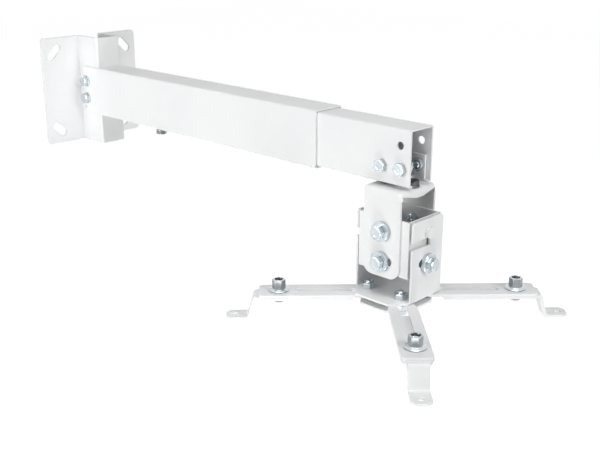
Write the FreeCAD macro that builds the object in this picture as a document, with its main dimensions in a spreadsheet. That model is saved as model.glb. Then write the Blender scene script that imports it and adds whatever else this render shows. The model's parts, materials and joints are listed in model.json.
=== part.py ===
import FreeCAD, Part
import math
import os
import Sketcher

from FreeCAD import Placement, Rotation, Vector

# Projector wall mount: a telescopic steel boom with a tilting head and four slotted arms.
# Frame, millimetres: the origin lies on the wall at the middle of the boom, +X runs along the
# boom away from the wall, +Y is the far side of the boom and +Z is up.

doc = FreeCAD.newDocument("projector_mount")
sheet = doc.addObject("Spreadsheet::Sheet", "dims")

# Driving dimensions, in millimetres and degrees
SIZES = {
    "plate_half_width": 59.0,
    "plate_half_height": 56.0,
    "plate_sheet": 2.5,
    "plate_corner": 4.0,
    "hat_depth": 37.0,
    "hat_bend": 2.0,
    "wall_slot_y": 44.0,
    "wall_slot_z": 41.0,
    "wall_slot_reach": 5.2,
    "wall_slot_width": 8.5,
    "tube_height": 50.0,
    "tube_width": 32.0,
    "tube_wall": 1.5,
    "tube_start": 10.5,
    "tube_end": 351.5,
    "tube_corner": 1.8,
    "fit_gap": 0.3,
    "lug_corner": 4.0,
    "lug_gap": 0.2,
    "wall_bolt_x": 16.0,
    "wall_bolt_z": 9.2,
    "under_screw_x": 122.0,
    "lock_x": 336.0,
    "lock_pitch": 22.0,
    "boom_overhang": 19.0,
    "boom_rest_gap": 3.6,
    "boom_hole_inset": 10.1,
    "boom_hole_z": 9.6,
    "boom_hole": 6.5,
    "channel_sheet": 2.0,
    "channel_back": 19.0,
    "channel_front": 14.9,
    "channel_height": 20.5,
    "channel_bolt_x": 9.7,
    "channel_bolt_z": 9.2,
    "thread": 6.0,
    "thread_gap": 0.1,
    "bolt_hole": 6.6,
    "slot_width": 6.8,
    "hex_flats": 10.0,
    "head_height": 4.0,
    "tall_head_height": 5.0,
    "nut_height": 5.0,
    "thread_stub": 1.5,
    "washer": 17.0,
    "washer_sheet": 1.5,
    "thick_washer_sheet": 3.5,
    "small_washer": 12.0,
    "face_gap": 0.05,
    "head_x": 430.6,
    "head_sheet": 2.0,
    "swivel_offset": 10.4,
    "swivel_washer_sheet": 2.4,
    "stop_offset": 11.2,
    "notch_gap": 1.0,
    "yoke_half_length": 19.1,
    "yoke_half_width": 22.9,
    "yoke_flange_front": 17.8,
    "yoke_height": 73.3,
    "yoke_bend": 3.0,
    "yoke_corner": 9.5,
    "lip_bend": 4.5,
    "lip_height": 7.0,
    "lip_slope_run": 17.0,
    "lip_slope_rise": 4.0,
    "pivot_z": 60.0,
    "lock_radius": 25.7,
    "lock_swing": 17.0,
    "block_half_length": 25.3,
    "block_top": 11.5,
    "block_bottom": 36.5,
    "block_bend": 2.0,
    "block_slit": 0.6,
    "spacer_gap": 0.1,
    "bracket_half_length": 29.0,
    "bracket_half_width": 19.7,
    "web_gap": 16.05,
    "bracket_bend": 2.6,
    "bracket_corner": 3.0,
    "hook_entry": 6.7,
    "hook_drop": 7.8,
    "pin_head": 9.0,
    "pin_head_height": 3.0,
    "pin_tail": 1.0,
    "web_reach": 34.0,
    "web_nose": 17.0,
    "web_shoulder": 20.0,
    "clamp_half_length": 27.0,
    "clamp_reach": 33.0,
    "clamp_nose": 13.0,
    "clamp_shoulder": 10.0,
    "clamp_corner": 2.0,
    "arm_sheet": 2.5,
    "arm_bolt_radius": 24.0,
    "arm_half_width": 12.0,
    "arm_root_radius": 6.5,
    "arm_root": 13.0,
    "arm_flare_end": 28.0,
    "slot_margin": 17.2,
    "leg_bolt_radius": 98.7,
    "arm_tip": 16.5,
    "taper_start": 13.5,
    "taper_run": 6.5,
    "tip_half_width": 8.0,
    "reach_shift": 10.5,
    "leg_tail_gap": 7.5,
    "leg_bend_start": 18.5,
    "leg_lean": 5.0,
    "leg_drop": 18.4,
    "leg_bend": 1.6,
    "foot_length": 20.7,
    "foot_hole_out": 13.7,
    "foot_hole": 5.5,
    "foot_chamfer": 4.0,
    "flange_nut_height": 10.0,
    "flange_nut_rim": 1.6,
    "leg_stub": 4.5,
}
for row, (alias, value) in enumerate(SIZES.items(), start=1):
    sheet.set(f"A{row}", alias)
    sheet.set(f"B{row}", str(value))
    sheet.setAlias(f"B{row}", alias)
doc.recompute()


def sized(text):
    """Expression over the sheet: every size name in the text gets the sheet's name in front."""
    words = []
    word = ""
    for mark in text + " ":
        if mark.isalnum() or mark == "_":
            word += mark
            continue
        words.append("dims." + word if word in SIZES else word)
        words.append(mark)
        word = ""
    return "".join(words).strip()


def number(text):
    """The value of an expression over the sheet, as a plain number."""
    result = sheet.evalExpression(sized(text))
    return float(getattr(result, "Value", result))


# Places that several pieces share
TUBE_HALF = "(tube_height / 2)"
INNER_HALF = "(tube_height / 2 - tube_wall - fit_gap)"
INNER_HALF_WIDTH = "(tube_width / 2 - tube_wall - fit_gap)"
HAT_HALF = "(tube_width / 2 - tube_wall - lug_gap)"
CHANNEL_FLOOR = f"({INNER_HALF} - tube_wall)"
BOOM_START = "(hat_depth + boom_rest_gap)"
BOOM_END = "(head_x + boom_overhang)"
YOKE_TOP = f"(-{INNER_HALF} - swivel_washer_sheet - face_gap)"
YOKE_BOTTOM = f"({YOKE_TOP} - yoke_height)"
CHANNEL_HALF = f"({INNER_HALF_WIDTH} - tube_wall - fit_gap)"
CHANNEL_INSIDE = f"({CHANNEL_HALF} - channel_sheet)"
BLOCK_HALF = "(yoke_half_width - head_sheet - face_gap)"
SWIVEL_X = "(head_x - swivel_offset)"
STOP_X = "(head_x + stop_offset)"
PIVOT = "(-pivot_z)"
WEB_TOP = f"({YOKE_BOTTOM} - web_gap)"
WEB_BOTTOM = f"({WEB_TOP} - head_sheet)"
ARM_TOP = f"({WEB_BOTTOM} - face_gap)"
ARM_BOTTOM = f"({ARM_TOP} - arm_sheet)"
LEG_TOP = f"({ARM_BOTTOM} - face_gap)"
LEG_BOTTOM = f"({LEG_TOP} - arm_sheet)"
CLAMP_TOP = f"({LEG_BOTTOM} - face_gap)"
HEX_RADIUS = "(hex_flats / 2 / cos(30deg))"
NOTCH_START = f"({STOP_X} - {HEX_RADIUS} - notch_gap)"
PIVOT_BORE = "(thread + 2 * thread_gap)"

parts = {}


def keep(piece, label):
    """Names a finished piece and puts it on the list of pieces that are written out."""
    piece.Label = label
    parts[label] = piece
    return piece


def plane_of(body, role):
    """One of the body's own origin planes."""
    return next(item for item in body.Origin.OriginFeatures if item.Role == role)


def new_sketch(body, role, offset="0"):
    """An empty sketch on an origin plane, moved along the plane's normal."""
    sketch = body.newObject("Sketcher::SketchObject", "outline")
    sketch.AttachmentSupport = [(plane_of(body, role), "")]
    sketch.MapMode = "FlatFace"
    sketch.setExpression("AttachmentOffset.Base.z", sized(offset))
    return sketch


def hold(sketch, geometry, point, across, up):
    """Fixes one point of the sketch at two expressions from the sketch's origin."""
    for kind, text, axis in (("DistanceX", across, -2), ("DistanceY", up, -1)):
        value = number(text)
        if abs(value) < 1e-9:
            sketch.addConstraint(Sketcher.Constraint("PointOnObject", geometry, point, axis))
            continue
        index = sketch.addConstraint(Sketcher.Constraint(kind, -1, 1, geometry, point, value))
        sketch.setExpression(f"Constraints[{index}]", sized(text))


def polygon(sketch, corners):
    """A closed polygon whose corners are pairs of expressions."""
    spots = [Vector(number(across), number(up), 0) for across, up in corners]
    first = sketch.GeometryCount
    for start, end in zip(spots, spots[1:] + spots[:1]):
        sketch.addGeometry(Part.LineSegment(start, end), False)
    count = len(spots)
    for turn in range(count):
        after = first + (turn + 1) % count
        sketch.addConstraint(Sketcher.Constraint("Coincident", first + turn, 2, after, 1))
    for turn, (across, up) in enumerate(corners):
        hold(sketch, first + turn, 1, across, up)


def rectangle(sketch, left, right, bottom, top):
    polygon(sketch, [(left, bottom), (right, bottom), (right, top), (left, top)])


def circle(sketch, across, up, radius):
    """A circle with its centre and radius bound to expressions."""
    spot = Vector(number(across), number(up), 0)
    index = sketch.addGeometry(Part.Circle(spot, Vector(0, 0, 1), number(radius)), False)
    hold(sketch, index, 3, across, up)
    bound = sketch.addConstraint(Sketcher.Constraint("Radius", index, number(radius)))
    sketch.setExpression(f"Constraints[{bound}]", sized(radius))


def straight_slot(sketch, start, end, radius):
    """A slot with round ends between two centres, each a pair of expressions."""
    first, last = [Vector(number(across), number(up), 0) for across, up in (start, end)]
    size = number(radius)
    along = (last - first).normalize()
    side = Vector(-along.y, along.x, 0) * size
    heading = math.atan2(along.y, along.x)
    quarter = math.pi / 2
    normal = Vector(0, 0, 1)
    lower = sketch.addGeometry(Part.LineSegment(first - side, last - side), False)
    outer = sketch.addGeometry(
        Part.ArcOfCircle(Part.Circle(last, normal, size), heading - quarter, heading + quarter), False)
    upper = sketch.addGeometry(Part.LineSegment(last + side, first + side), False)
    inner = sketch.addGeometry(
        Part.ArcOfCircle(Part.Circle(first, normal, size), heading + quarter, heading + 3 * quarter), False)
    sketch.addConstraint(Sketcher.Constraint("Tangent", lower, 2, outer, 1))
    sketch.addConstraint(Sketcher.Constraint("Tangent", outer, 2, upper, 1))
    sketch.addConstraint(Sketcher.Constraint("Tangent", upper, 2, inner, 1))
    sketch.addConstraint(Sketcher.Constraint("Tangent", inner, 2, lower, 1))
    hold(sketch, outer, 3, *end)
    hold(sketch, inner, 3, *start)
    bound = sketch.addConstraint(Sketcher.Constraint("Radius", outer, size))
    sketch.setExpression(f"Constraints[{bound}]", sized(radius))


def arc_slot(sketch, centre, radius, swing, width):
    """A slot bent round a centre above it, reaching the same angle in degrees to each side."""
    middle = Vector(number(centre[0]), number(centre[1]), 0)
    reach, size = number(radius), number(width) / 2
    first_turn, last_turn = f"(-90 - {swing})", f"(-90 + {swing})"
    left, right = [math.radians(number(turn)) for turn in (first_turn, last_turn)]
    normal = Vector(0, 0, 1)
    ends = [middle + Vector(math.cos(turn), math.sin(turn), 0) * reach for turn in (left, right)]
    far = sketch.addGeometry(
        Part.ArcOfCircle(Part.Circle(middle, normal, reach + size), left, right), False)
    near = sketch.addGeometry(
        Part.ArcOfCircle(Part.Circle(middle, normal, reach - size), left, right), False)
    first = sketch.addGeometry(
        Part.ArcOfCircle(Part.Circle(ends[0], normal, size), left + math.pi, left + 2 * math.pi), False)
    last = sketch.addGeometry(
        Part.ArcOfCircle(Part.Circle(ends[1], normal, size), right, right + math.pi), False)
    sketch.addConstraint(Sketcher.Constraint("Tangent", first, 2, far, 1))
    sketch.addConstraint(Sketcher.Constraint("Tangent", far, 2, last, 1))
    sketch.addConstraint(Sketcher.Constraint("Tangent", last, 2, near, 2))
    sketch.addConstraint(Sketcher.Constraint("Tangent", near, 1, first, 1))
    hold(sketch, far, 3, *centre)
    for arc, turn in ((first, first_turn), (last, last_turn)):
        hold(sketch, arc, 3, f"{centre[0]} + ({radius}) * cos({turn} * 1deg)",
             f"{centre[1]} + ({radius}) * sin({turn} * 1deg)")
    bound = sketch.addConstraint(Sketcher.Constraint("Radius", last, size))
    sketch.setExpression(f"Constraints[{bound}]", sized(f"({width}) / 2"))


def corner_cut(sketch, corner, inward, radius):
    """The sliver outside a rounded corner; inward holds the signs that point into the piece."""
    across, up = corner
    size = number(radius)
    spot = Vector(number(across), number(up), 0)
    centre = spot + Vector(inward[0] * size, inward[1] * size, 0)
    level, side = Vector(centre.x, spot.y, 0), Vector(spot.x, centre.y, 0)
    out = sketch.addGeometry(Part.LineSegment(spot, level), False)
    back = sketch.addGeometry(Part.LineSegment(side, spot), False)
    middle = centre - Vector(inward[0], inward[1], 0).normalize() * size
    arc = sketch.addGeometry(Part.Arc(level, middle, side), False)
    starts_level = sketch.Geometry[arc].StartPoint.distanceToPoint(level) < size / 2
    at_level, at_side = (1, 2) if starts_level else (2, 1)
    sketch.addConstraint(Sketcher.Constraint("Coincident", back, 2, out, 1))
    sketch.addConstraint(Sketcher.Constraint("Coincident", out, 2, arc, at_level))
    sketch.addConstraint(Sketcher.Constraint("Coincident", back, 1, arc, at_side))
    hold(sketch, out, 1, across, up)
    hold(sketch, out, 2, f"{across} + {inward[0]} * ({radius})", up)
    hold(sketch, back, 1, across, f"{up} + {inward[1]} * ({radius})")
    bound = sketch.addConstraint(Sketcher.Constraint("Radius", arc, size))
    sketch.setExpression(f"Constraints[{bound}]", sized(radius))


def pad(body, sketch, length, midplane=False, reverse=False):
    feature = body.newObject("PartDesign::Pad", "pad")
    feature.Profile = sketch
    feature.setExpression("Length", sized(length))
    feature.Midplane = midplane
    feature.Reversed = reverse
    doc.recompute()
    return feature


def pocket(body, sketch, length=None, reverse=False):
    """Cuts a sketch out of the body: through it both ways, or one way to a stated depth."""
    before = body.Shape.Volume
    feature = body.newObject("PartDesign::Pocket", "cut")
    feature.Profile = sketch
    if length is None:
        feature.Type = "ThroughAll"
        feature.Midplane = True
    else:
        feature.Type = "Length"
        feature.setExpression("Length", sized(length))
        feature.Reversed = reverse
    doc.recompute()
    if not body.Shape.Volume < before - 1e-6:
        raise ValueError(f"{body.Label}: a cut removes nothing")
    return feature


def edges_where(shape, test):
    """Names of the straight edges whose two ends pass the test."""
    found = []
    for index, edge in enumerate(shape.Edges, start=1):
        ends = [vertex.Point for vertex in edge.Vertexes]
        if len(ends) == 2 and edge.Curve.TypeId == "Part::GeomLine" and test(*ends):
            found.append(f"Edge{index}")
    return found


def along(axis, **fixed):
    """A test for edges parallel to an axis, at given distances from the planes named in fixed."""
    others = {"x": 0, "y": 1, "z": 2}

    def test(start, end):
        for name, place in others.items():
            if name != axis and abs(start[place] - end[place]) > 1e-5:
                return False
        for name, wanted in fixed.items():
            values = wanted if isinstance(wanted, (list, tuple)) else [wanted]
            if not any(abs(start[others[name]] - value) < 1e-4 for value in values):
                return False
        return True

    return test


def soften(body, radius, test, kind="Fillet"):
    """Rounds or chamfers the edges of the body that pass the test."""
    base = body.Tip
    names = edges_where(base.Shape, test)
    if not names:
        raise ValueError(f"{body.Label}: no edge to soften")
    feature = body.newObject(f"PartDesign::{kind}", "edge")
    feature.Base = (base, names)
    feature.setExpression("Radius" if kind == "Fillet" else "Size", sized(radius))
    doc.recompute()
    return feature


def new_body(label):
    return keep(doc.addObject("PartDesign::Body", label), label)


def both(text):
    """A size to both sides of a middle plane, as plain numbers."""
    return [-number(text), number(text)]


# Wall end: the hat-section bracket and the outer tube that straddles it

def wall_bracket():
    body = new_body("wall_bracket")
    inside = f"({HAT_HALF} - plate_sheet)"
    half = [
        ("0", "plate_half_width"),
        ("0", inside),
        ("hat_depth - plate_sheet", inside),
        ("hat_depth - plate_sheet", f"-{inside}"),
        ("0", f"-{inside}"),
        ("0", "-plate_half_width"),
        ("plate_sheet", "-plate_half_width"),
        ("plate_sheet", f"-{HAT_HALF}"),
        ("hat_depth", f"-{HAT_HALF}"),
        ("hat_depth", HAT_HALF),
        ("plate_sheet", HAT_HALF),
        ("plate_sheet", "plate_half_width"),
    ]
    sketch = new_sketch(body, "XY_Plane")
    polygon(sketch, half)
    pad(body, sketch, "2 * plate_half_height", midplane=True)
    soften(body, "hat_bend", along("z", x=number("hat_depth"), y=both(HAT_HALF)))
    soften(body, "hat_bend / 2", along("z", x=number("hat_depth - plate_sheet"), y=both(inside)))
    soften(body, "hat_bend", along("z", x=0.0, y=both(inside)))
    soften(body, "plate_corner", along("x", y=both("plate_half_width"), z=both("plate_half_height")))
    slots = new_sketch(body, "YZ_Plane")
    for side in (-1, 1):
        for level in (-1, 1):
            reach = f"{side * level} * wall_slot_reach / sqrt(2)"
            middle = f"{side} * wall_slot_y"
            height = f"{level} * wall_slot_z"
            start = (f"{middle} - {reach}", f"{height} + wall_slot_reach / sqrt(2)")
            end = (f"{middle} + {reach}", f"{height} - wall_slot_reach / sqrt(2)")
            straight_slot(slots, start, end, "wall_slot_width / 2")
    pocket(body, slots)
    holes = new_sketch(body, "XZ_Plane")
    for level in ("-wall_bolt_z", "wall_bolt_z"):
        circle(holes, "wall_bolt_x", level, "bolt_hole / 2")
    pocket(body, holes)


def square_tube(body, start, end, half_height, half_width):
    """A rectangular tube along X with rounded long edges."""
    sketch = new_sketch(body, "YZ_Plane", start)
    rectangle(sketch, f"-{half_width}", half_width, f"-{half_height}", half_height)
    inner_width, inner_height = f"({half_width} - tube_wall)", f"({half_height} - tube_wall)"
    rectangle(sketch, f"-{inner_width}", inner_width, f"-{inner_height}", inner_height)
    pad(body, sketch, f"{end} - ({start})")
    soften(body, "tube_corner", along("x", y=both(half_width), z=both(half_height)))
    soften(body, "tube_corner - tube_wall", along("x", y=both(inner_width), z=both(inner_height)))


def outer_tube():
    body = new_body("outer_tube")
    square_tube(body, "tube_start", "tube_end", TUBE_HALF, "(tube_width / 2)")
    mouth = f"({HAT_HALF} + lug_gap)"
    notch = new_sketch(body, "XY_Plane")
    rectangle(notch, "0", "hat_depth + lug_gap", f"-{mouth}", mouth)
    pocket(body, notch)
    corners = new_sketch(body, "XZ_Plane")
    for side in (-1, 1):
        corner_cut(corners, ("tube_start", f"{side} * {TUBE_HALF}"), (1, -side), "lug_corner")
    pocket(body, corners)
    holes = new_sketch(body, "XZ_Plane")
    for level in ("-wall_bolt_z", "wall_bolt_z"):
        circle(holes, "wall_bolt_x", level, "bolt_hole / 2")
    pocket(body, holes)
    bores = new_sketch(body, "XY_Plane")
    for place in ("under_screw_x", "lock_x", "lock_x - lock_pitch"):
        circle(bores, place, "0", f"{PIVOT_BORE} / 2")
    pocket(body, bores, TUBE_HALF)


# Boom end: the sliding inner tube and the channel that carries the swivel bolt

CHANNEL_X = ("(head_x - channel_bolt_x)", "(head_x + channel_bolt_x)")


def inner_tube():
    body = new_body("inner_tube")
    square_tube(body, BOOM_START, BOOM_END, INNER_HALF, INNER_HALF_WIDTH)
    sides = new_sketch(body, "XZ_Plane")
    circle(sides, f"{BOOM_END} - boom_hole_inset", "boom_hole_z", "boom_hole / 2")
    for place in CHANNEL_X:
        circle(sides, place, "-channel_bolt_z", "bolt_hole / 2")
    pocket(body, sides)
    floor = new_sketch(body, "XY_Plane")
    circle(floor, SWIVEL_X, "0", "bolt_hole / 2")
    end_notch(floor)
    pocket(body, floor, INNER_HALF)


def end_notch(sketch):
    """The floor's open end, where the head of the yoke's stop bolt swings from side to side."""
    rectangle(sketch, NOTCH_START, f"{BOOM_END} + notch_gap", f"-{CHANNEL_INSIDE}", CHANNEL_INSIDE)


def end_channel():
    body = new_body("end_channel")
    sketch = new_sketch(body, "YZ_Plane", "head_x - channel_back")
    top = f"(channel_height - {CHANNEL_FLOOR})"
    floor = f"(channel_sheet - {CHANNEL_FLOOR})"
    polygon(sketch, [
        (f"-{CHANNEL_HALF}", f"-{CHANNEL_FLOOR}"),
        (CHANNEL_HALF, f"-{CHANNEL_FLOOR}"),
        (CHANNEL_HALF, top),
        (CHANNEL_INSIDE, top),
        (CHANNEL_INSIDE, floor),
        (f"-{CHANNEL_INSIDE}", floor),
        (f"-{CHANNEL_INSIDE}", top),
        (f"-{CHANNEL_HALF}", top),
    ])
    pad(body, sketch, "channel_back + channel_front")
    soften(body, "channel_sheet", along("x", y=both(CHANNEL_HALF), z=-number(CHANNEL_FLOOR)))
    sides = new_sketch(body, "XZ_Plane")
    for place in CHANNEL_X:
        circle(sides, place, "-channel_bolt_z", "bolt_hole / 2")
    pocket(body, sides)
    base = new_sketch(body, "XY_Plane")
    circle(base, SWIVEL_X, "0", "bolt_hole / 2")
    end_notch(base)
    pocket(body, base)


# Head: the yoke under the boom, the cross block inside it and the bracket round the block

def moved_head(body):
    """The head's pieces are drawn round the swivel axis and carried out to the boom's end."""
    body.setExpression("Placement.Base.x", sized("head_x"))


def yoke():
    """A cap with a drawn edge towards the boom's end and two flanges that hang from its sides."""
    body = new_body("yoke")
    inside = "(yoke_half_width - head_sheet)"
    lip = f"({YOKE_TOP} - lip_height)"
    cap = new_sketch(body, "XY_Plane", YOKE_TOP)
    rectangle(cap, "-yoke_half_length", "yoke_half_length", "-yoke_half_width", "yoke_half_width")
    pad(body, cap, "lip_height", reverse=True)
    top = number(YOKE_TOP)
    soften(body, "yoke_bend", along("x", y=both("yoke_half_width"), z=top))
    soften(body, "lip_bend", along("y", x=number("yoke_half_length"), z=top))
    hollow = new_sketch(body, "XY_Plane", f"{YOKE_TOP} - head_sheet")
    end = "(yoke_half_length - head_sheet)"
    rectangle(hollow, f"-{end}", end, f"-{inside}", inside)
    pocket(body, hollow, "lip_height")
    slopes = new_sketch(body, "YZ_Plane")
    for side in (-1, 1):
        polygon(slopes, [
            (f"{side} * {inside}", f"{lip} - head_sheet"),
            (f"{side} * {inside}", f"{lip} + lip_slope_rise"),
            (f"{side} * ({inside} - lip_slope_run)", lip),
            (f"{side} * ({inside} - lip_slope_run)", f"{lip} - head_sheet"),
        ])
    pocket(body, slopes)
    flanges = new_sketch(body, "XY_Plane", lip)
    for side in ("-", ""):
        rectangle(flanges, "-yoke_half_length", "yoke_flange_front", f"{side}{inside}", f"{side}yoke_half_width")
    pad(body, flanges, f"{lip} - {YOKE_BOTTOM}", reverse=True)
    ends = [-number("yoke_half_length"), number("yoke_flange_front")]
    soften(body, "yoke_corner", along("y", x=ends, z=number(YOKE_BOTTOM)))
    holes = new_sketch(body, "XZ_Plane")
    circle(holes, "0", PIVOT, f"{PIVOT_BORE} / 2")
    arc_slot(holes, ("0", PIVOT), "lock_radius", "lock_swing", "slot_width")
    pocket(body, holes)
    swivel = new_sketch(body, "XY_Plane")
    circle(swivel, "-swivel_offset", "0", f"{PIVOT_BORE} / 2")
    circle(swivel, "stop_offset", "0", "bolt_hole / 2")
    pocket(body, swivel)
    moved_head(body)


def cross_block():
    body = new_body("cross_block")
    shell = new_sketch(body, "XY_Plane", f"{PIVOT} - block_bottom")
    rectangle(shell, "-block_half_length", "block_half_length", f"-{BLOCK_HALF}", BLOCK_HALF)
    pad(body, shell, "block_top + block_bottom")
    floor = number(f"{PIVOT} - block_bottom")
    soften(body, "block_bend", along("x", y=both(BLOCK_HALF), z=floor))
    hollow = new_sketch(body, "XY_Plane", f"{PIVOT} - block_bottom + head_sheet")
    length, width = "(block_half_length - head_sheet)", f"({BLOCK_HALF} - head_sheet)"
    rectangle(hollow, f"-{length}", length, f"-{width}", width)
    pocket(body, hollow, "block_top + block_bottom", reverse=True)
    slits = new_sketch(body, "XY_Plane", f"{PIVOT} - block_bottom + head_sheet")
    for side in (-1, 1):
        for end in (-1, 1):
            near, far = f"({length} - head_sheet)", "(block_half_length + head_sheet)"
            shallow = f"({width} - block_slit)"
            polygon(slits, [
                (f"{end} * {near}", f"{side} * {shallow}"),
                (f"{end} * {far}", f"{side} * {shallow}"),
                (f"{end} * {far}", f"{side} * {width}"),
                (f"{end} * {near}", f"{side} * {width}"),
            ])
    pocket(body, slits, "block_top + block_bottom", reverse=True)
    for role in ("XZ_Plane", "YZ_Plane"):
        holes = new_sketch(body, role)
        circle(holes, "0", PIVOT, "bolt_hole / 2")
        circle(holes, "0", f"{PIVOT} - lock_radius", "bolt_hole / 2")
        pocket(body, holes)
    moved_head(body)


def eight_sided(sketch, half_length, shoulder, reach, nose):
    """An oblong with its four corners cut off."""
    polygon(sketch, [
        (f"-{nose}", f"-{reach}"),
        (nose, f"-{reach}"),
        (half_length, f"-{shoulder}"),
        (half_length, shoulder),
        (nose, reach),
        (f"-{nose}", reach),
        (f"-{half_length}", shoulder),
        (f"-{half_length}", f"-{shoulder}"),
    ])


def arm_bolt_holes(sketch, radius):
    """Four holes on the diagonals, one for each arm's bolt."""
    offset = "arm_bolt_radius / sqrt(2)"
    for across in (-1, 1):
        for up in (-1, 1):
            circle(sketch, f"{across} * {offset}", f"{up} * {offset}", radius)


def lower_bracket():
    body = new_body("lower_bracket")
    web = new_sketch(body, "XY_Plane", WEB_BOTTOM)
    eight_sided(web, "bracket_half_length", "web_shoulder", "web_reach", "web_nose")
    pad(body, web, "head_sheet")
    flanges = new_sketch(body, "XY_Plane", WEB_BOTTOM)
    inside = "(bracket_half_length - head_sheet)"
    for side in ("-", ""):
        rectangle(flanges, f"{side}{inside}", f"{side}bracket_half_length",
                  "-bracket_half_width", "bracket_half_width")
    pad(body, flanges, f"{PIVOT} + block_top - {WEB_BOTTOM}")
    reach = number("bracket_half_length")
    floor = number(WEB_BOTTOM)
    top = number(f"{PIVOT} + block_top")
    soften(body, "bracket_bend", along("y", x=[-reach, reach], z=floor))
    soften(body, "bracket_corner", along("x", y=both("bracket_half_width"), z=top))
    hook = new_sketch(body, "YZ_Plane")
    seat = f"({PIVOT_BORE} / 2)"
    entry = f"({PIVOT} - hook_drop)"
    polygon(hook, [
        ("-2 * bracket_half_width", f"{entry} - hook_entry / 2"),
        (seat, f"{entry} - hook_entry / 2"),
        (seat, PIVOT),
        (f"-{seat}", PIVOT),
        (f"-{seat}", f"{entry} + hook_entry / 2"),
        ("-2 * bracket_half_width", f"{entry} + hook_entry / 2"),
    ])
    pocket(body, hook)
    holes = new_sketch(body, "YZ_Plane")
    circle(holes, "0", PIVOT, seat)
    arc_slot(holes, ("0", PIVOT), "lock_radius", "lock_swing", "slot_width")
    pocket(body, holes)
    bolts = new_sketch(body, "XY_Plane")
    arm_bolt_holes(bolts, seat)
    pocket(body, bolts)
    moved_head(body)


def clamp_plate():
    body = new_body("clamp_plate")
    outline = new_sketch(body, "XY_Plane", CLAMP_TOP)
    eight_sided(outline, "clamp_half_length", "clamp_shoulder", "clamp_reach", "clamp_nose")
    arm_bolt_holes(outline, f"{PIVOT_BORE} / 2")
    pad(body, outline, "head_sheet", reverse=True)
    soften(body, "clamp_corner", along("z", y=both("clamp_reach") + both("clamp_shoulder")))
    moved_head(body)


# Arms: each is drawn along +X from the head's axis, then turned to its diagonal
# The arm that points away from the wall on the near side is drawn out further than the others
ARM_TURNS = {1: 45.0, 2: 135.0, 3: 225.0, 4: 315.0}
ARM_SHIFT = {1: "0", 2: "0", 3: "0", 4: "reach_shift"}


def turn_out(piece, number_of_arm, across="0", level="0", shifted=True):
    """Places a piece of one arm: turned to the arm's heading and drawn out by the arm's shift."""
    heading = ARM_TURNS[number_of_arm]
    reach = f"({across} + {ARM_SHIFT[number_of_arm] if shifted else '0'})"
    piece.Placement = Placement(Vector(), Rotation(Vector(0, 0, 1), heading))
    piece.setExpression("Placement.Base.x", sized(f"head_x + {reach} * cos({heading}deg)"))
    piece.setExpression("Placement.Base.y", sized(f"{reach} * sin({heading}deg)"))
    piece.setExpression("Placement.Base.z", sized(level))


def slotted_arm(arm):
    body = new_body(f"slotted_arm_{arm}")
    tip = "(leg_bolt_radius + arm_tip)"
    narrowing = "(arm_half_width - tip_half_width) * (arm_tip - taper_start) / taper_run"
    tip_half = f"(arm_half_width - {narrowing})"
    outline = new_sketch(body, "XY_Plane", ARM_BOTTOM)
    butt = "(arm_root - arm_root_radius)"
    polygon(outline, [
        (butt, "-arm_root_radius"),
        ("arm_root", "-arm_root_radius"),
        ("arm_flare_end", "-arm_half_width"),
        ("leg_bolt_radius + taper_start", "-arm_half_width"),
        (tip, f"-{tip_half}"),
        (tip, tip_half),
        ("leg_bolt_radius + taper_start", "arm_half_width"),
        ("arm_flare_end", "arm_half_width"),
        ("arm_root", "arm_root_radius"),
        (butt, "arm_root_radius"),
    ])
    pad(body, outline, "arm_sheet")
    soften(body, "arm_root_radius - face_gap", along("z", x=number(butt), y=both("arm_root_radius")))
    slot = new_sketch(body, "XY_Plane")
    straight_slot(slot, ("arm_root", "0"), ("leg_bolt_radius - slot_margin", "0"), "slot_width / 2")
    pocket(body, slot)
    bore = new_sketch(body, "XY_Plane")
    circle(bore, "leg_bolt_radius", "0", "bolt_hole / 2")
    pocket(body, bore)
    turn_out(body, arm)


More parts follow.
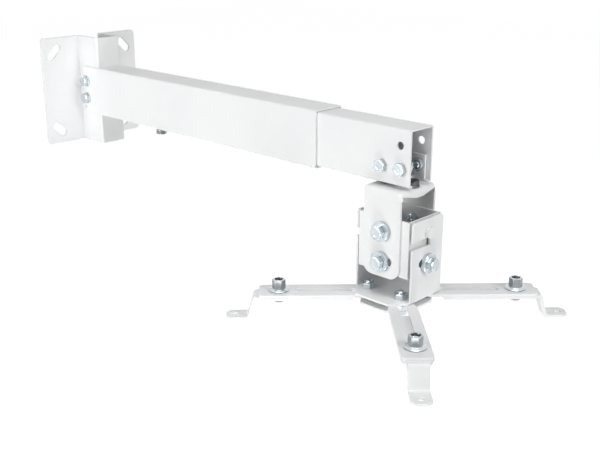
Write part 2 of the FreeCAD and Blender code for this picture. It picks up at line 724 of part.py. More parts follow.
def leg(arm):
    """The bar clamped under an arm: it bends down past the arm's tip and out into a foot."""
    body = new_body(f"leg_{arm}")
    side = new_sketch(body, "XZ_Plane")
    tail = "(arm_bolt_radius + small_washer / 2 + leg_tail_gap)"
    bend = "(leg_bolt_radius + leg_bend_start)"
    slant = "(arm_sheet * sqrt(leg_lean * leg_lean + leg_drop * leg_drop) / leg_drop)"
    foot = f"({bend} + leg_lean + foot_length)"
    polygon(side, [
        (tail, LEG_BOTTOM),
        (tail, LEG_TOP),
        (f"{bend} + {slant}", LEG_TOP),
        (f"{bend} + {slant} + leg_lean", f"{LEG_TOP} - leg_drop"),
        (foot, f"{LEG_TOP} - leg_drop"),
        (foot, f"{LEG_BOTTOM} - leg_drop"),
        (f"{bend} + leg_lean", f"{LEG_BOTTOM} - leg_drop"),
        (bend, LEG_BOTTOM),
    ])
    pad(body, side, "2 * arm_half_width", midplane=True)
    upper, lower = number(LEG_TOP), number(LEG_BOTTOM)
    drop = number("leg_drop")
    inner = [number(bend), number(f"{bend} + {slant} + leg_lean")]
    outer = [number(f"{bend} + {slant}"), number(f"{bend} + leg_lean")]
    soften(body, "leg_bend", along("y", x=inner, z=[lower, upper - drop]))
    soften(body, "leg_bend + arm_sheet / 2", along("y", x=outer, z=[upper, lower - drop]))
    trim = new_sketch(body, "XY_Plane")
    start = "(leg_bolt_radius + taper_start)"
    for turn in (-1, 1):
        polygon(trim, [
            (start, f"{turn} * arm_half_width"),
            (f"{start} + taper_run", f"{turn} * tip_half_width"),
            (f"{foot} - foot_chamfer", f"{turn} * tip_half_width"),
            (foot, f"{turn} * (tip_half_width - foot_chamfer)"),
            (f"{foot} + foot_chamfer", f"{turn} * (tip_half_width - foot_chamfer)"),
            (f"{foot} + foot_chamfer", f"{turn} * 2 * arm_half_width"),
            (start, f"{turn} * 2 * arm_half_width"),
        ])
    pocket(body, trim)
    holes = new_sketch(body, "XY_Plane")
    circle(holes, "leg_bolt_radius", "0", f"{PIVOT_BORE} / 2")
    circle(holes, f"{bend} + leg_lean + foot_hole_out", "0", "foot_hole / 2")
    pocket(body, holes)
    turn_out(body, arm)


# Fasteners: hexagons, washers and plain shanks; the finer detail of a thread is left off

def cylinder(radius, height, level="0"):
    rod = doc.addObject("Part::Cylinder", "rod")
    rod.setExpression("Radius", sized(radius))
    rod.setExpression("Height", sized(height))
    rod.setExpression("Placement.Base.z", sized(level))
    return rod


def hexagon(height, level="0"):
    prism = doc.addObject("Part::Prism", "hexagon")
    prism.Polygon = 6
    prism.setExpression("Circumradius", sized(HEX_RADIUS))
    prism.setExpression("Height", sized(height))
    prism.setExpression("Placement.Base.z", sized(level))
    return prism


def joined(first, second):
    fuse = doc.addObject("Part::Fuse", "joined")
    fuse.Base, fuse.Tool = first, second
    return fuse


def drilled(solid, radius, height):
    cut = doc.addObject("Part::Cut", "drilled")
    cut.Base, cut.Tool = solid, cylinder(radius, height)
    return cut


def bolt(shank, head="head_height"):
    """A hexagon bolt with its seat at level 0, head above it and shank below."""
    return joined(hexagon(head), cylinder("thread / 2", f"{shank} + {head} / 2", f"-({shank})"))


def headed_pin(shank):
    """A plain pin with a low round head on a seat at level 0."""
    return joined(cylinder("pin_head / 2", "pin_head_height"),
                  cylinder("thread / 2", f"{shank} + pin_head_height / 2", f"-({shank})"))


def nut():
    return drilled(hexagon("nut_height"), "thread / 2 + thread_gap", "nut_height")


def ring(outer, height):
    return drilled(cylinder(f"{outer} / 2", height), "thread / 2 + thread_gap", height)


def flange_nut():
    """A tall nut on its own round rim, open at the top."""
    solid = joined(cylinder("washer / 2", "flange_nut_rim"), hexagon("flange_nut_height"))
    return drilled(solid, "thread / 2 + thread_gap", "flange_nut_height")


# The way a fastener's own +Z points
AIMS = {
    "+x": Rotation(Vector(0, 1, 0), 90),
    "-x": Rotation(Vector(0, 1, 0), -90),
    "+y": Rotation(Vector(1, 0, 0), -90),
    "-y": Rotation(Vector(1, 0, 0), 90),
    "+z": Rotation(),
    "-z": Rotation(Vector(1, 0, 0), 180),
}


def aimed(piece, aim, place):
    """Turns a fastener to an axis and places it at three expressions."""
    piece.Placement = Placement(Vector(), AIMS[aim])
    for axis, text in zip("xyz", place):
        piece.setExpression(f"Placement.Base.{axis}", sized(text))
    return piece


def group(label, pieces):
    """One node of separate solids."""
    compound = doc.addObject("Part::Compound", label)
    compound.Links = pieces
    return keep(compound, label)


def signed(sign, text):
    return f"-({text})" if sign == "-" else f"({text})"


def wall_fasteners():
    levels = ("wall_bolt_z", "-wall_bolt_z")
    seat = "(tube_width / 2 + washer_sheet)"
    bolts, washers, nuts = [], [], []
    for level in levels:
        bolts.append(aimed(bolt(f"2 * {seat} + nut_height + thread_stub"), "-y",
                           ("wall_bolt_x", f"-{seat}", level)))
        for sign, aim in (("-", "-y"), ("+", "+y")):
            washers.append(aimed(ring("small_washer", "washer_sheet"), aim,
                                 ("wall_bolt_x", signed(sign, "tube_width / 2"), level)))
        nuts.append(aimed(nut(), "+y", ("wall_bolt_x", seat, level)))
    group("wall_bolts", bolts)
    group("wall_washers", washers)
    group("wall_nuts", nuts)


def lock_fasteners():
    """Two low screws under the tube's mouth bear on the inner tube; one with a nut sits further back."""
    wall = f"({TUBE_HALF} - {INNER_HALF} - face_gap)"
    places = ("lock_x", "lock_x - lock_pitch")
    screws = [aimed(bolt(wall), "-z", (place, "0", f"-{TUBE_HALF}")) for place in places]
    group("tube_lock_screws", screws)
    keep(aimed(nut(), "-z", ("under_screw_x", "0", f"-{TUBE_HALF}")), "under_nut")
    keep(aimed(bolt(f"{wall} + nut_height"), "-z", ("under_screw_x", "0", f"-{TUBE_HALF} - nut_height")),
         "under_screw")


def channel_fasteners():
    """Two short bolts each side hold the channel, with their nuts inside it."""
    shank = f"{INNER_HALF_WIDTH} - {CHANNEL_INSIDE} + nut_height"
    bolts, nuts = [], []
    for place in CHANNEL_X:
        for sign, opposite in ("-+", "+-"):
            seat = signed(sign, INNER_HALF_WIDTH)
            bolts.append(aimed(bolt(shank), f"{sign}y", (place, seat, "-channel_bolt_z")))
            inner = signed(sign, CHANNEL_INSIDE)
            nuts.append(aimed(nut(), f"{opposite}y", (place, inner, "-channel_bolt_z")))
    group("channel_bolts", bolts)
    group("channel_nuts", nuts)


def swivel_fasteners():
    """The pivot bolt that hangs the yoke from the boom, and the stop bolt that rides on the yoke."""
    seat = f"(channel_sheet - {CHANNEL_FLOOR})"
    web = f"({YOKE_TOP} - head_sheet - face_gap)"
    nut_seat = f"({web} - washer_sheet)"
    shank = f"{seat} - {nut_seat} + nut_height + thread_stub"
    keep(aimed(bolt(shank), "+z", (SWIVEL_X, "0", seat)), "swivel_bolt")
    keep(aimed(ring("washer", "swivel_washer_sheet"), "-z", (SWIVEL_X, "0", f"-{INNER_HALF}")),
         "swivel_spacer")
    keep(aimed(ring("small_washer", "washer_sheet"), "-z", (SWIVEL_X, "0", web)), "swivel_washer")
    keep(aimed(nut(), "-z", (SWIVEL_X, "0", nut_seat)), "swivel_nut")
    stop_seat = f"({YOKE_TOP} + washer_sheet)"
    stop_shank = "washer_sheet + head_sheet + nut_height + thread_stub"
    keep(aimed(bolt(stop_shank), "+z", (STOP_X, "0", stop_seat)), "stop_bolt")
    keep(aimed(ring("small_washer", "washer_sheet"), "+z", (STOP_X, "0", YOKE_TOP)), "stop_washer")
    keep(aimed(nut(), "-z", (STOP_X, "0", f"{YOKE_TOP} - head_sheet")), "stop_nut")


def head_spot(axis, sign, distance, drop="0"):
    """A place on one of the head's two cross axes, at a distance out and a drop below the pivot."""
    shift = signed(sign, distance)
    level = f"{PIVOT} - {drop}"
    return (f"head_x + {shift}", "0", level) if axis == "x" else ("head_x", shift, level)


def block_fasteners():
    """Bolts turn the block in the yoke and lock both axes; fixed pins carry the hooked bracket."""
    flange = "(bracket_half_length + face_gap)"
    wall = "(block_half_length - head_sheet)"
    gap = f"({flange} - head_sheet - block_half_length - 2 * face_gap)"
    pins, spacers = [], []
    for sign in "-+":
        shank = f"{flange} - {wall} + pin_tail"
        pins.append(aimed(headed_pin(shank), f"{sign}x", head_spot("x", sign, flange)))
        for drop in ("0", "lock_radius"):
            spot = head_spot("x", sign, "block_half_length", drop)
            spacers.append(aimed(ring("small_washer", gap), f"{sign}x", spot))
    group("roll_pins", pins)
    group("roll_spacers", spacers)
    sets = (
        ("tilt", "y", f"({BLOCK_HALF} - head_sheet)", "(yoke_half_width + face_gap)", ("0", "lock_radius")),
        ("roll", "x", wall, flange, ("lock_radius",)),
    )
    nuts = []
    for name, axis, inside, face, drops in sets:
        outside = f"({face} + thick_washer_sheet)"
        shank = f"{outside} - {inside} + nut_height + thread_stub"
        bolts, washers = [], []
        for sign, opposite in ("-+", "+-"):
            for drop in drops:
                bolts.append(aimed(bolt(shank, "tall_head_height"), f"{sign}{axis}",
                                   head_spot(axis, sign, outside, drop)))
                washers.append(aimed(ring("washer", "thick_washer_sheet"), f"{sign}{axis}",
                                     head_spot(axis, sign, face, drop)))
                nuts.append(aimed(nut(), f"{opposite}{axis}", head_spot(axis, sign, inside, drop)))
        group(f"{name}_bolts", bolts)
        group(f"{name}_washers", washers)
    group("block_nuts", nuts)


def arm_fasteners(arm):
    """The bolt that holds an arm at the head, and the bolt and tall nut that hold its leg."""
    radius = "arm_bolt_radius"
    seat = f"({CLAMP_TOP} - head_sheet - face_gap)"
    shank = f"{WEB_TOP} + face_gap + nut_height + thread_stub - {seat}"
    spacer = ring("small_washer", f"{ARM_BOTTOM} - {CLAMP_TOP} - 2 * face_gap")
    for piece, label, level, aim in (
        (bolt(shank), "arm_bolt", seat, "-z"),
        (spacer, "arm_spacer", f"{CLAMP_TOP} + face_gap", "+z"),
        (nut(), "arm_nut", f"{WEB_TOP} + face_gap", "+z"),
    ):
        turn_out(piece, arm, radius, level, shifted=False)
        piece.Placement = Placement(piece.Placement.Base, piece.Placement.Rotation.multiply(AIMS[aim]))
        keep(piece, f"{label}_{arm}")
    under = f"({LEG_BOTTOM} - face_gap)"
    reach = f"{ARM_TOP} + leg_stub - {under}"
    for piece, label, level, aim in (
        (bolt(reach), "leg_bolt", under, "-z"),
        (flange_nut(), "leg_nut", ARM_TOP, "+z"),
    ):
        turn_out(piece, arm, "leg_bolt_radius", level)
        piece.Placement = Placement(piece.Placement.Base, piece.Placement.Rotation.multiply(AIMS[aim]))
        keep(piece, f"{label}_{arm}")


wall_bracket()
outer_tube()
wall_fasteners()
lock_fasteners()
inner_tube()
end_channel()
channel_fasteners()
swivel_fasteners()
yoke()
cross_block()
block_fasteners()
lower_bracket()
clamp_plate()
for arm in ARM_TURNS:
    slotted_arm(arm)
    leg(arm)
    arm_fasteners(arm)
doc.recompute()

for item in doc.Objects:
    if "Invalid" in item.State or "Error" in item.State:
        raise ValueError(f"{item.Label} did not compute: {item.State}")
for label, piece in parts.items():
    if piece.Shape.isNull() or not piece.Shape.isValid() or not piece.Shape.Solids:
        raise ValueError(f"{label} has no valid solid")

os.makedirs("parts", exist_ok=True)
for label, piece in parts.items():
    piece.Shape.exportStep(f"parts/{label}.step")
    print(f"{label}: {len(piece.Shape.Solids)} solid, {piece.Shape.Volume:.0f} mm3")
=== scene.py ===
import json
import math

import bmesh
import bpy
from mathutils import Matrix, Vector


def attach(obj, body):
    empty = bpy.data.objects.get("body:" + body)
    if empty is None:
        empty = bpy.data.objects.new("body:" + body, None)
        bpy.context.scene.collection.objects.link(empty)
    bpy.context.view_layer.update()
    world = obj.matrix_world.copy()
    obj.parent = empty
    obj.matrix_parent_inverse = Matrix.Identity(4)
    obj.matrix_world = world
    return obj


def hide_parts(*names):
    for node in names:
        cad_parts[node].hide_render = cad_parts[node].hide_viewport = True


# Looks of the projector wall mount: powder-coated sheet steel and zinc-plated fasteners.
# Materials and modifiers are in metres. Fasteners are built in millimetres and scaled by MM.

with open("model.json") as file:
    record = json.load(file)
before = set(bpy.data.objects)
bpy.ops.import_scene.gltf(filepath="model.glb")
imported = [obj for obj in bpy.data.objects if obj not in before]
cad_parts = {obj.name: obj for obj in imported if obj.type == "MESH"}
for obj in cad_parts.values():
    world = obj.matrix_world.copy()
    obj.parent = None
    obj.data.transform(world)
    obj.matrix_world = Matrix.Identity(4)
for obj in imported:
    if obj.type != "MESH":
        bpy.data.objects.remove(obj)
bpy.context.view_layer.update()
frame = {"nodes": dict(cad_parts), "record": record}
nodes = frame["nodes"]
bodies = frame["record"]["behaviour"]["bodies"]
body_of_node = {name: body for body, names in bodies.items() for name in names}
ARMS = (1, 2, 3, 4)
MM = 0.001
TURN = 2 * math.pi


# Materials

class Shader:
    """A small helper that adds nodes to a material and links them by name."""

    def __init__(self, name):
        self.material = bpy.data.materials.new(name)
        self.material.use_nodes = True
        self.tree = self.material.node_tree
        self.main = self.tree.nodes["Principled BSDF"]
        self.place = self.add("ShaderNodeTexCoord").outputs["Object"]

    def add(self, kind):
        return self.tree.nodes.new(kind)

    def link(self, source, target):
        self.tree.links.new(source, target)

    def noise(self, scale, detail):
        node = self.add("ShaderNodeTexNoise")
        node.inputs["Scale"].default_value = scale
        node.inputs["Detail"].default_value = detail
        self.link(self.place, node.inputs["Vector"])
        return node.outputs["Fac"]

    def spread(self, source, low, high, start=0.35, end=0.65):
        """Maps source from start-end, by default the middle of a noise, to low-high."""
        node = self.add("ShaderNodeMapRange")
        node.inputs["From Min"].default_value = start
        node.inputs["From Max"].default_value = end
        node.inputs["To Min"].default_value = low
        node.inputs["To Max"].default_value = high
        self.link(source, node.inputs["Value"])
        return node.outputs["Result"]

    def mix(self, factor, first, second):
        """Blends two colours, each given as a tuple or as another node's output."""
        node = self.add("ShaderNodeMix")
        node.data_type = "RGBA"
        self.link(factor, node.inputs["Factor"])
        colour_sockets = [socket for socket in node.inputs if socket.type == "RGBA"]
        for value, socket in zip((first, second), colour_sockets):
            if isinstance(value, tuple):
                socket.default_value = (*value, 1.0)
            else:
                self.link(value, socket)
        return next(socket for socket in node.outputs if socket.type == "RGBA")

    def bump(self, height, strength, distance, base=None):
        node = self.add("ShaderNodeBump")
        node.inputs["Strength"].default_value = strength
        node.inputs["Distance"].default_value = distance
        self.link(height, node.inputs["Height"])
        if base is not None:
            self.link(base, node.inputs["Normal"])
        return node.outputs["Normal"]

    def edges(self, radius):
        """1 on sharp outer edges and 0 on flat faces."""
        round_off = self.add("ShaderNodeBevel")
        round_off.samples = 4
        round_off.inputs["Radius"].default_value = radius
        flat = self.add("ShaderNodeNewGeometry")
        angle = self.add("ShaderNodeVectorMath")
        angle.operation = "DOT_PRODUCT"
        self.link(round_off.outputs["Normal"], angle.inputs[0])
        self.link(flat.outputs["Normal"], angle.inputs[1])
        return self.spread(angle.outputs["Value"], 1.0, 0.0, 0.80, 0.99)


def powder_coat():
    """Satin white powder coat: fine orange peel, faint tone changes and thinner paint on the edges."""
    shader = Shader("white_powder_coat")
    tone = shader.spread(shader.noise(14.0, 4.0), 0.0, 1.0)
    fine = shader.spread(shader.noise(420.0, 2.0), 0.0, 0.25)
    paint = shader.mix(tone, (0.800, 0.808, 0.812), (0.835, 0.840, 0.840))
    paint = shader.mix(fine, paint, (0.79, 0.80, 0.81))
    paint = shader.mix(shader.spread(shader.edges(0.0005), 0.0, 0.35, 0.0, 1.0), paint, (0.66, 0.68, 0.70))
    shader.link(paint, shader.main.inputs["Base Color"])
    shader.link(shader.spread(shader.noise(60.0, 3.0), 0.30, 0.40), shader.main.inputs["Roughness"])
    peel = shader.bump(shader.noise(1500.0, 1.0), 0.10, 0.0001)
    shader.link(shader.bump(shader.noise(260.0, 2.0), 0.05, 0.0004, peel), shader.main.inputs["Normal"])
    shader.main.inputs["Specular IOR Level"].default_value = 0.28
    shader.main.inputs["Coat Weight"].default_value = 0.06
    shader.main.inputs["Coat Roughness"].default_value = 0.3
    return shader.material


def plated_steel(name, dull, bright, worn):
    """A plated fastener: an even film with faint clouds, fine grain and brighter metal on its corners."""
    shader = Shader(name)
    film = shader.spread(shader.noise(180.0, 4.0), 0.0, 1.0)
    metal = shader.mix(film, dull, bright)
    metal = shader.mix(shader.spread(shader.edges(0.0003), 0.0, 0.6, 0.0, 1.0), metal, worn)
    shader.link(metal, shader.main.inputs["Base Color"])
    shader.main.inputs["Metallic"].default_value = 1.0
    shader.link(shader.spread(shader.noise(700.0, 3.0), 0.16, 0.24), shader.main.inputs["Roughness"])
    shader.link(shader.bump(shader.noise(1400.0, 2.0), 0.04, 0.0001), shader.main.inputs["Normal"])
    return shader.material


WHITE = powder_coat()
# Each fastener takes two zinc materials: the first on its end faces, the second, a darker copy, on its sides and
# threads as painted shade and painted dark reflections
BRIGHT = plated_steel("bright_zinc", (0.58, 0.635, 0.67), (0.67, 0.72, 0.75), (0.80, 0.83, 0.85))
ZINC = (BRIGHT, plated_steel("zinc_painted_shade_sides", (0.54, 0.585, 0.615), (0.63, 0.675, 0.70), (0.76, 0.79, 0.81)))
# The under nut, under screw and leg nuts take a much darker side copy: painted shade and painted dark reflections
# on their facets
NUT_PAINTED_SHADE_PAIR = (BRIGHT, plated_steel("nut_painted_shade_sides", (0.24, 0.255, 0.265), (0.33, 0.35, 0.36), (0.62, 0.65, 0.66)))
# Near-black zinc for the swivel and stop fasteners inside the yoke and for the leg bolts in the leg nuts' mouths:
# painted shade where these parts sit in shadow
PAINTED_SHADE_ZINC = (plated_steel("painted_shade_zinc", (0.13, 0.135, 0.14), (0.19, 0.195, 0.20), (0.34, 0.35, 0.36)),
             plated_steel("painted_shade_zinc_deeper", (0.09, 0.092, 0.095), (0.13, 0.134, 0.138), (0.26, 0.265, 0.27)))
# The nodes below take the darker painted-shade pairs; every other fastener takes ZINC, with its milder painted side
# shade
SHADE_PAINTED_FINISHES = {"under_nut": NUT_PAINTED_SHADE_PAIR, "under_screw": NUT_PAINTED_SHADE_PAIR}
SHADE_PAINTED_FINISHES.update({f"leg_nut_{arm}": NUT_PAINTED_SHADE_PAIR for arm in ARMS})
SHADE_PAINTED_FINISHES.update({f"leg_bolt_{arm}": PAINTED_SHADE_ZINC for arm in ARMS})
SHADE_PAINTED_FINISHES.update({f"stop_{kind}": PAINTED_SHADE_ZINC for kind in ("bolt", "washer", "nut")})
SHADE_PAINTED_FINISHES.update({f"swivel_{kind}": PAINTED_SHADE_ZINC for kind in ("bolt", "spacer", "washer", "nut")})


# Sheet metal: the solids stay, and their cut edges are eased as paint eases them

WELD_GAP = 0.002 * MM
PAINT_EASE = 0.2 * MM
FLAT_WITHIN = math.radians(0.5)
EDGE_FROM = math.radians(40)


def dress_sheet(name):
    piece = nodes[name]
    piece.data.materials.clear()
    piece.data.materials.append(WHITE)
    for face in piece.data.polygons:
        face.use_smooth = True
    weld = piece.modifiers.new("weld", "WELD")
    weld.merge_threshold = WELD_GAP
    flat = piece.modifiers.new("planes", "DECIMATE")
    flat.decimate_type = "DISSOLVE"
    flat.angle_limit = FLAT_WITHIN
    ease = piece.modifiers.new("ease", "BEVEL")
    ease.width = PAINT_EASE
    ease.segments = 2
    ease.limit_method = "ANGLE"
    ease.angle_limit = EDGE_FROM
    ease.miter_outer = "MITER_ARC"
    normals = piece.modifiers.new("normals", "WEIGHTED_NORMAL")
    normals.keep_sharp = True


PAINTED = ["wall_bracket", "outer_tube", "inner_tube", "end_channel", "yoke", "cross_block", "roll_pins",
           "lower_bracket", "clamp_plate"]
PAINTED += [f"{kind}_{arm}" for kind in ("slotted_arm", "leg") for arm in ARMS]
for name in PAINTED:
    dress_sheet(name)


# Fasteners: each solid is found in its node and rebuilt with chamfers and threads

FLATS = 10.0
BOLT_RADIUS = 3.0
BORE = 3.1
PITCH = 1.0
THREAD_DEPTH = 0.32
STEPS_PER_PITCH = 6
SIDES = 72
THREAD_SIDES = SIDES // 3
CORNER_EASE = 0.985
CHAMFER = math.tan(math.radians(27))
MERGE_GAP = 0.004 * MM
SHARP_FROM = math.radians(28)
# Hexagons are turned by these angles, in radians: the first of a node, then each next one further round
FIRST_SPIN = 0.35
BOLT_STEP = 1.9
NUT_STEP = 1.3
BLOCK_SPIN, BLOCK_STEP = 0.4, 1.1
# One flat of these faces the camera
WEB_BOLT_SPIN = 0.68
LEG_NUT_SPIN = 0.64


def solids_of(name):
    """The vertex places of each separate solid in a node, in millimetres, grouped by the edges that join them."""
    mesh = nodes[name].data
    parent = {}
    places = []
    for vertex in mesh.vertices:
        place = tuple(round(value / MM, 3) for value in vertex.co)
        places.append(place)
        parent.setdefault(place, place)

    def root(place):
        while parent[place] != place:
            parent[place] = parent[parent[place]]
            place = parent[place]
        return place

    for edge in mesh.edges:
        first, second = (root(places[index]) for index in edge.vertices)
        if first != second:
            parent[first] = second
    groups = {}
    for place in parent:
        groups.setdefault(root(place), []).append(Vector(place))
    return [groups[place] for place in sorted(groups)]


def axis_frame(points, axis):
    """The axis as 0, 1 or 2, the solid's middle and its two ends, and how far from the axis each point lies."""
    index = "xyz".index(axis)
    across, up = [n for n in range(3) if n != index]
    low = [min(point[n] for point in points) for n in range(3)]
    high = [max(point[n] for point in points) for n in range(3)]
    middle = Vector([(low[n] + high[n]) / 2 for n in range(3)])
    reach = [math.hypot(point[across] - middle[across], point[up] - middle[up]) for point in points]
    return index, middle, low[index], high[index], reach


def hex_reach(turn):
    """Distance from a hexagon's centre to its side, with slightly eased corners."""
    inner = FLATS / 2
    corner = inner / math.cos(math.pi / 6)
    within = (turn + math.pi / 6) % (math.pi / 3) - math.pi / 6
    side = inner / math.cos(math.pi / 6 - abs(within))
    return min(side, corner * CORNER_EASE)


class Lathe:
    """Builds rings of points round +Z; a ring is a radius and height, or a function of the turn."""

    def __init__(self):
        self.mesh = bmesh.new()

    def rings(self, rings, close_start=False, close_end=False, sides=SIDES):
        built = []
        for ring in rings:
            row = []
            for step in range(sides):
                turn = TURN * step / sides
                radius, level = ring(turn) if callable(ring) else ring
                row.append(self.mesh.verts.new((radius * math.cos(turn), radius * math.sin(turn), level)))
            built.append(row)
        for lower, upper in zip(built, built[1:]):
            for step in range(sides):
                after = (step + 1) % sides
                self.mesh.faces.new((lower[step], lower[after], upper[after], upper[step]))
        for close, row in ((close_start, built[0]), (close_end, built[-1])):
            if close:
                self.mesh.faces.new(row)
        return built

    def stitch(self, fine, coarse):
        """Joins a ring to one with a third as many points, without gaps."""
        for step in range(len(coarse)):
            after = (step + 1) % len(coarse)
            edge = [fine[(3 * step + part) % len(fine)] for part in range(4)]
            self.mesh.faces.new((*edge, coarse[after], coarse[step]))

    def thread(self, start, end, radius, inward=1.0):
        """A helical thread from one height to another; inward is -1 for a nut's own thread."""
        steps = max(2, int(round(abs(end - start) / PITCH * STEPS_PER_PITCH)))
        rings = []
        for step in range(steps + 1):
            level = start + (end - start) * step / steps

            def ring(turn, level=level):
                phase = (level / PITCH - turn / TURN) % 1.0
                fade = min(1.0, abs(level - start) / PITCH, abs(level - end) / PITCH)
                return radius - inward * THREAD_DEPTH * fade * abs(2 * phase - 1), level

            rings.append(ring)
        return self.rings(rings, sides=THREAD_SIDES)


def hex_top(height, sign=1.0):
    """Rings of a chamfered hexagon end, from its flat face out to its side; sign is -1 for a lower end."""
    circle = 0.96 * FLATS / 2

    def side(turn):
        reach = hex_reach(turn)
        return reach, height - sign * (reach - circle) * CHAMFER

    return [(circle * 0.96, height), (circle * 0.985, height), (circle, height - sign * 0.02), side]


def bolt_piece(head, shank):
    """A dished hexagon head on a threaded shank: seat at level 0, head up, shank down."""
    lathe = Lathe()
    dish, dent = 0.58 * FLATS / 2, 0.10
    collar, collar_height = 0.93 * FLATS / 2, 0.34
    neck, tip = -0.3, -(shank - 0.7)
    top = [(dish * 0.85, head - dent), (dish * 0.9, head - dent), (dish, head), (dish * 1.03, head)]
    foot = [
        lambda turn: (hex_reach(turn), collar_height + 0.01),
        (collar, collar_height),
        (collar, 0.0),
        (BOLT_RADIUS, 0.0),
    ]
    outer = lathe.rings(top + hex_top(head) + foot, close_start=True)
    lathe.stitch(outer[-1], lathe.thread(neck, tip, BOLT_RADIUS)[0])
    lathe.rings([(BOLT_RADIUS, tip), (BOLT_RADIUS * 0.78, -shank)], close_end=True, sides=THREAD_SIDES)
    return lathe.mesh


def nut_piece(height):
    """A plain hexagon nut, chamfered at both ends and at both mouths of its bore."""
    lathe = Lathe()
    lead = 0.45
    entry = BORE + lead
    lower = [(entry, 0.0)] + hex_top(0.0, -1.0)
    upper = hex_top(height)[::-1] + [(entry, height)]
    outer = lathe.rings(lower + upper)
    inner = lathe.thread(lead, height - lead, BORE + 0.05, inward=-1.0)
    lathe.stitch(outer[0], inner[0])
    lathe.stitch(outer[-1], inner[-1])
    return lathe.mesh


def flange_nut_piece(height):
    """A tall hexagon nut that stands on a thin, slightly domed flange, its deep mouth open at the top."""
    lathe = Lathe()
    flange, rim, foot = 8.5, 1.6, 2.3
    entry, mouth_depth, lead = BORE + 0.35, 2.6, 0.5
    outer = [
        (BORE + 0.25, 0.0),
        (flange - 0.3, 0.0),
        (flange, 0.25),
        (flange, rim * 0.6),
        (flange - 0.3, rim * 0.8),
        (flange - 1.3, rim + 0.15),
        lambda turn: (max(hex_reach(turn) + 0.45, FLATS * 0.60), foot - 0.25),
        lambda turn: (hex_reach(turn) + 0.1, foot),
        lambda turn: (hex_reach(turn), foot + 0.25),
    ]
    mouth = [(entry + 0.1, height), (entry, height - 0.25), (entry, height - mouth_depth)]
    skin = lathe.rings(outer + hex_top(height)[::-1] + mouth)
    inner = lathe.thread(height - mouth_depth - lead, 0.2, BORE + 0.05, inward=-1.0)
    lathe.stitch(skin[-1], inner[0])
    lathe.stitch(skin[0], inner[-1])
    return lathe.mesh


def washer_piece(thickness, outer):
    """A washer or spacer with eased edges."""
    lathe = Lathe()
    ease = min(0.25, thickness / 4)
    top = thickness - ease
    lathe.rings([
        (BORE, ease), (BORE + ease, 0.0), (outer - ease, 0.0), (outer, ease),
        (outer, top), (outer - ease, thickness), (BORE + ease, thickness), (BORE, top), (BORE, ease),
    ])
    return lathe.mesh


def add_to(target, piece, place):
    """Adds a lathed piece to a node's mesh at a matrix, its sides in the second material with its painted shade,
    and empties the piece.
    """
    piece.normal_update()
    # Faces that don't look along the axis take the second material, the side copy with painted shade
    for face in piece.faces:
        face.material_index = int(abs(face.normal.z) < 0.5)
    piece.transform(place)
    scratch = bpy.data.meshes.new("scratch")
    piece.to_mesh(scratch)
    piece.free()
    target.from_mesh(scratch)
    bpy.data.meshes.remove(scratch)


def facing(index, sign, middle, level, spin):
    """The matrix that stands a lathed piece on its seat, along one axis, and scales it to metres."""
    direction = Vector((0, 0, 0))
    direction[index] = sign
    turn = Vector((0, 0, 1)).rotation_difference(direction).to_matrix().to_4x4()
    seat = middle.copy()
    seat[index] = level
    return Matrix.Scale(MM, 4) @ Matrix.Translation(seat) @ turn @ Matrix.Rotation(spin, 4, "Z")


def finish_piece(name, mesh):
    """Turns a node's rebuilt solids into one visible piece that rides its body and stands in for the node."""
    bmesh.ops.remove_doubles(mesh, verts=mesh.verts, dist=MERGE_GAP)
    bmesh.ops.recalc_face_normals(mesh, faces=mesh.faces)
    data = bpy.data.meshes.new(f"{name}_detail")
    mesh.to_mesh(data)
    mesh.free()
    for face in data.polygons:
        face.use_smooth = True
    data.set_sharp_from_angle(angle=SHARP_FROM)
    piece = bpy.data.objects.new(f"{name}_detail", data)
    bpy.context.scene.collection.objects.link(piece)
    for material in SHADE_PAINTED_FINISHES.get(name, ZINC):
        data.materials.append(material)
    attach(piece, body_of_node[name])
    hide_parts(name)


def dress_bolts(name, axis, first=FIRST_SPIN):
    """Bolts: the head is the stretch of each solid that is wider than its shank."""
    mesh = bmesh.new()
    for count, points in enumerate(solids_of(name)):
        index, middle, low, high, reach = axis_frame(points, axis)
        wide = [point[index] for point, out in zip(points, reach) if out > BOLT_RADIUS + 1.0]
        head_low, head_high = min(wide), max(wide)
        up = high - head_high < head_low - low
        head = head_high - head_low
        shank = head_low - low if up else high - head_high
        seat, sign = (head_low, 1) if up else (head_high, -1)
        add_to(mesh, bolt_piece(head, shank), facing(index, sign, middle, seat, first + BOLT_STEP * count))
    finish_piece(name, mesh)


def dress_rings(name, axis, maker, first=FIRST_SPIN):
    """Nuts and washers: the maker gets each solid's height and outer radius."""
    mesh = bmesh.new()
    for count, points in enumerate(solids_of(name)):
        index, middle, low, high, reach = axis_frame(points, axis)
        add_to(mesh, maker(high - low, max(reach)), facing(index, 1, middle, low, first + NUT_STEP * count))
    finish_piece(name, mesh)


def plain_nut(height, reach):
    return nut_piece(height)


def tall_nut(height, reach):
    return flange_nut_piece(height)


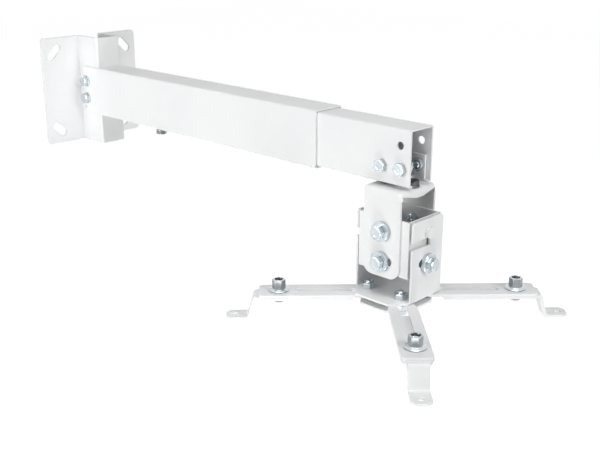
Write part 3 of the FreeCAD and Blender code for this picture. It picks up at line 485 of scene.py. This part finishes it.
for name, axis in (("wall_bolts", "y"), ("tilt_bolts", "y"), ("channel_bolts", "y"), ("roll_bolts", "x"),
                   ("swivel_bolt", "z"), ("stop_bolt", "z"), ("tube_lock_screws", "z"), ("under_screw", "z")):
    dress_bolts(name, axis)
for name, axis in (("wall_nuts", "y"), ("channel_nuts", "y"), ("swivel_nut", "z"), ("stop_nut", "z"),
                   ("under_nut", "z")):
    dress_rings(name, axis, plain_nut)
for name, axis in (("wall_washers", "y"), ("tilt_washers", "y"), ("roll_washers", "x"), ("roll_spacers", "x"),
                   ("swivel_spacer", "z"), ("swivel_washer", "z"), ("stop_washer", "z")):
    dress_rings(name, axis, washer_piece)
for arm in ARMS:
    dress_bolts(f"arm_bolt_{arm}", "z", WEB_BOLT_SPIN)
    dress_bolts(f"leg_bolt_{arm}", "z")
    dress_rings(f"arm_nut_{arm}", "z", plain_nut)
    dress_rings(f"arm_spacer_{arm}", "z", washer_piece)
    dress_rings(f"leg_nut_{arm}", "z", tall_nut, LEG_NUT_SPIN)


def dress_block_nuts():
    """The nuts inside the cross block: their axes differ, so each one's own shape tells its axis."""
    mesh = bmesh.new()
    for count, points in enumerate(solids_of("block_nuts")):
        sizes = [max(point[n] for point in points) - min(point[n] for point in points) for n in range(3)]
        axis = "xyz"[sizes.index(min(sizes))]
        index, middle, low, high, reach = axis_frame(points, axis)
        add_to(mesh, nut_piece(high - low), facing(index, 1, middle, low, BLOCK_SPIN + BLOCK_STEP * count))
    finish_piece("block_nuts", mesh)


dress_block_nuts()


# Studio: a pale floor far below, a white surround and soft lamps

FLOOR_LEVEL = -0.9
FLOOR_GLOW = 0.84
FLOOR_HALF = 8.0
AMBIENT = 0.17
# Name, place, target, size in metres and watts
LAMPS = (
    ("front", (-0.02, -1.00, 0.04), (0.16, 0.0, -0.02), (0.6, 0.4), 5.1),
    ("middle", (0.34, -0.75, 0.08), (0.12, 0.0, 0.0), (0.5, 0.4), 1.1),
    ("end", (2.16, 0.35, -0.18), (0.25, 0.0, -0.03), (0.5, 0.8), 4.4),
    ("high", (1.80, 0.10, 0.70), (0.35, 0.0, -0.05), (0.5, 0.8), 9.0),
    ("top", (0.75, -0.30, 1.25), (0.50, 0.0, -0.05), (1.0, 0.8), 7.8),
    ("low", (0.70, -0.35, -0.75), (0.03, -0.02, -0.04), (0.5, 0.3), 2.7),
    ("glint", (0.75, -0.85, -0.45), (0.45, -0.05, -0.10), (0.8, 0.1), 1.0),
)


def add_maths(tree, operation, first, second):
    node = tree.nodes.new("ShaderNodeMath")
    node.operation = operation
    for value, socket in zip((first, second), node.inputs):
        if isinstance(value, float):
            socket.default_value = value
        else:
            tree.links.new(value, socket)
    return node.outputs[0]


def seen_or_mirrored(tree):
    """1 for what the camera sees directly or in a reflection, and 0 for the light that falls on the mount."""
    path = tree.nodes.new("ShaderNodeLightPath")
    gloss = add_maths(tree, "MAXIMUM", path.outputs["Is Glossy Ray"], path.outputs["Is Transmission Ray"])
    return add_maths(tree, "MAXIMUM", path.outputs["Is Camera Ray"], gloss)


def floor():
    """A pale floor that keeps shadows, with a glow that only the camera and reflections see."""
    data = bpy.data.meshes.new("floor")
    corners = [(x * FLOOR_HALF, y * FLOOR_HALF, FLOOR_LEVEL) for x, y in ((-1, -1), (1, -1), (1, 1), (-1, 1))]
    data.from_pydata(corners, [], [(0, 1, 2, 3)])
    piece = bpy.data.objects.new("floor", data)
    bpy.context.scene.collection.objects.link(piece)
    material = bpy.data.materials.new("floor_white")
    material.use_nodes = True
    tree = material.node_tree
    main = tree.nodes["Principled BSDF"]
    main.inputs["Base Color"].default_value = (0.9, 0.9, 0.9, 1.0)
    main.inputs["Roughness"].default_value = 1.0
    main.inputs["Specular IOR Level"].default_value = 0.0
    main.inputs["Emission Color"].default_value = (1.0, 1.0, 1.0, 1.0)
    glow = add_maths(tree, "MULTIPLY", seen_or_mirrored(tree), FLOOR_GLOW)
    tree.links.new(glow, main.inputs["Emission Strength"])
    data.materials.append(material)


def surround():
    """White to the camera and in reflections, and a plain even light for everything else."""
    world = bpy.data.worlds.new("surround")
    bpy.context.scene.world = world
    world.use_nodes = True
    tree = world.node_tree
    back = tree.nodes["Background"]
    back.inputs["Color"].default_value = (1.0, 1.0, 1.0, 1.0)
    light = add_maths(tree, "MAXIMUM", seen_or_mirrored(tree), AMBIENT)
    tree.links.new(light, back.inputs["Strength"])


def lamp(name, place, target, size, watts):
    light = bpy.data.lights.new(name, "AREA")
    light.shape = "RECTANGLE"
    light.size, light.size_y = size
    light.energy = watts
    holder = bpy.data.objects.new(name, light)
    bpy.context.scene.collection.objects.link(holder)
    holder.location = place
    holder.rotation_euler = (Vector(target) - Vector(place)).to_track_quat("-Z", "Y").to_euler()


floor()
surround()
for values in LAMPS:
    lamp(*values)


# Camera: fitted to the photograph

def camera():
    data = bpy.data.cameras.new("camera")
    data.sensor_width = 36.0
    data.lens = 55.78
    data.clip_start = 0.01
    data.clip_end = 50.0
    holder = bpy.data.objects.new("camera", data)
    bpy.context.scene.collection.objects.link(holder)
    holder.location = (0.8693, -0.5732, 0.1819)
    holder.rotation_euler = (math.radians(90.0 - 18.65), 0.0, math.radians(43.88))
    bpy.context.scene.camera = holder


camera()
bpy.context.scene.view_settings.view_transform = "Standard"
